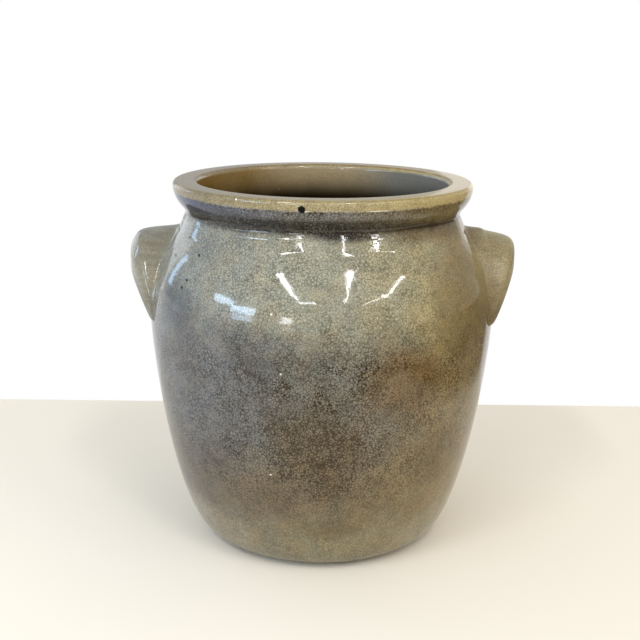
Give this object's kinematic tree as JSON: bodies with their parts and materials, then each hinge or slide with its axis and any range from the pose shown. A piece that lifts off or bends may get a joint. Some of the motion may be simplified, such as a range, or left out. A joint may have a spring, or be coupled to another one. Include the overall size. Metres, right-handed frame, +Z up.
{
  "type": "confit jar",
  "caption": "Wide-mouthed stoneware jar with a rolled rim and hooded finger lugs on its shoulder, for storing food.",
  "frame": {"origin": "centre of the flat foot, on the surface that the jar stands on", "axes": "+Z up along the turning axis to the rim; the lugs stand on +X (right) and -X (left); the pictured front faces -Y"},
  "size_m": [0.3183, 0.2856, 0.3],
  "materials": {
    "jar_glaze": "glossy crackled grey-green glaze over stoneware",
    "lug_glaze": "glossy crackled grey-green glaze over stoneware, warmer on the lugs"
  },
  "bodies": {
    "root": {"jar_body": "jar_glaze", "left_lug_handle": "lug_glaze", "right_lug_handle": "lug_glaze"}
  },
  "joints": []
}
